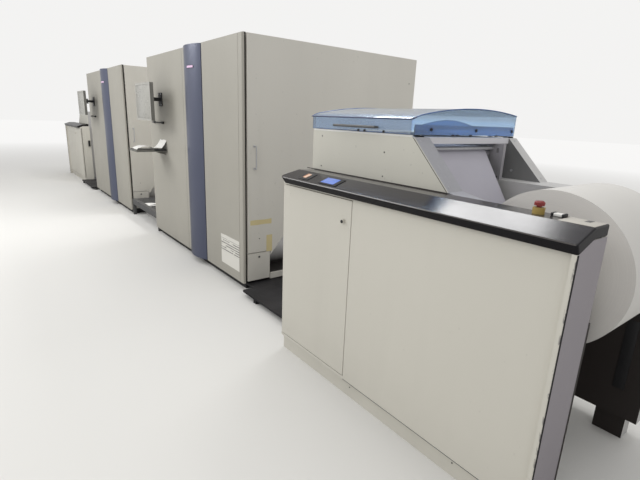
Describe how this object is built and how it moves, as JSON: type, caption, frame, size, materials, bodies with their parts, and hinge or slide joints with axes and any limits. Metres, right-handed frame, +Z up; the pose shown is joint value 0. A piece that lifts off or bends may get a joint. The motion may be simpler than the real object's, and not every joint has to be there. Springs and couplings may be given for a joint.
{
  "type": "continuous feed inkjet press",
  "caption": "Continuous feed inkjet press line with unwinder, two print towers and rewinder; the roll turns, the infeed cover, door, screens and stop button move.",
  "frame": {"origin": "bottom centre of the whole line, on the floor", "axes": "X along the line with the unwinder at +X, Y into the machines away from the operator's side, Z up"},
  "size_m": [12.212, 2.42, 2.2],
  "materials": {
    "warm_white": "satin",
    "cream": "satin",
    "light_grey": "satin",
    "slate_blue": "satin",
    "dark_frame": "satin",
    "machined": "brushed",
    "aluminium": "brushed",
    "black_top": "matte",
    "blue_clear": "gloss",
    "paper": "matte",
    "screen_grey": "matte",
    "yellow": "gloss",
    "red": "gloss",
    "black_metal": "matte"
  },
  "bodies": {
    "machine": {"tower_1_plinth": "dark_frame", "tower_1_housing": "light_grey", "tower_1_front_panels": "warm_white", "tower_1_blue_panel": "slate_blue", "tower_1_side_panels": "light_grey", "tower_1_side_handles": "aluminium", "tower_1_screen_bracket": "black_metal", "tower_2_plinth": "dark_frame", "tower_2_housing": "light_grey", "tower_2_front_panels": "warm_white", "tower_2_blue_panel": "slate_blue", "tower_2_side_panels": "light_grey", "tower_2_side_handles": "aluminium", "tower_2_screen_bracket": "black_metal", "unwinder_console": "warm_white", "unwinder_console_top": "black_top", "unwinder_near_frame": "machined", "unwinder_far_frame": "machined", "unwinder_cross_beams": "dark_frame", "unwinder_guard_rod": "aluminium", "unwinder_paper_web": "paper", "unwinder_end_wall": "light_grey", "unwinder_roller_plate": "machined", "unwinder_turn_roller": "aluminium", "rewinder_console": "warm_white", "rewinder_console_door": "warm_white", "rewinder_console_top": "black_top", "rewinder_near_frame": "machined", "rewinder_far_frame": "machined", "rewinder_cross_beams": "dark_frame", "rewinder_guard_rod": "aluminium", "rewinder_paper_roll": "paper", "rewinder_roll_chucks": "machined", "rewinder_paper_web": "paper", "rewinder_end_wall": "light_grey", "rewinder_roller_plate": "machined", "rewinder_turn_roller": "aluminium", "unwinder_infeed_side_panel": "cream", "rewinder_outfeed_side_panel": "cream", "rewinder_outfeed_roller": "aluminium", "rewinder_housing_lid": "light_grey", "unwinder_stop_base": "yellow", "end_latches": "black_metal", "paper_shelf": "light_grey", "step_plates": "black_metal", "bench": "dark_frame", "black_box": "black_metal"},
    "unwinder_roll": {"unwinder_paper_roll": "paper", "unwinder_roll_chucks": "machined"},
    "infeed_roller": {"unwinder_infeed_roller": "aluminium"},
    "infeed_cover": {"unwinder_infeed_cover": "blue_clear", "unwinder_cover_fittings": "black_metal"},
    "unwinder_door": {"unwinder_console_door": "warm_white"},
    "screen_1": {"tower_1_screen": "screen_grey"},
    "screen_2": {"tower_2_screen": "screen_grey"},
    "stop_button": {"unwinder_stop_button": "red"}
  },
  "joints": [
    {"name": "unwinder_roll_spin", "type": "hinge", "parent": "machine", "child": "unwinder_roll", "pos_m": [5.77, -0.5125, 0.975], "axis": [0, 1, 0], "continuous": true},
    {"name": "infeed_roller_spin", "type": "hinge", "parent": "machine", "child": "infeed_roller", "pos_m": [5.055, -0.5125, 1.392], "axis": [0, 1, 0], "continuous": true},
    {"name": "infeed_cover_hinge", "type": "hinge", "parent": "machine", "child": "infeed_cover", "pos_m": [4.715, 0.018, 1.5], "axis": [-1, 0, 0], "range_deg": [0, 75]},
    {"name": "unwinder_door_hinge", "type": "hinge", "parent": "machine", "child": "unwinder_door", "pos_m": [4.268, -1.106, 0.624], "axis": [0, 0, -1], "range_deg": [0, 110]},
    {"name": "screen_1_swivel", "type": "hinge", "parent": "machine", "child": "screen_1", "pos_m": [1.165, -0.97, 1.7], "axis": [0, 0, 1], "range_deg": [-40, 25]},
    {"name": "screen_2_swivel", "type": "hinge", "parent": "machine", "child": "screen_2", "pos_m": [-2.565, -0.97, 1.7], "axis": [0, 0, 1], "range_deg": [-40, 25]},
    {"name": "stop_button_press", "type": "slide", "parent": "machine", "child": "stop_button", "axis": [0, 0, -1], "range_m": [0, 0.005]}
  ]
}
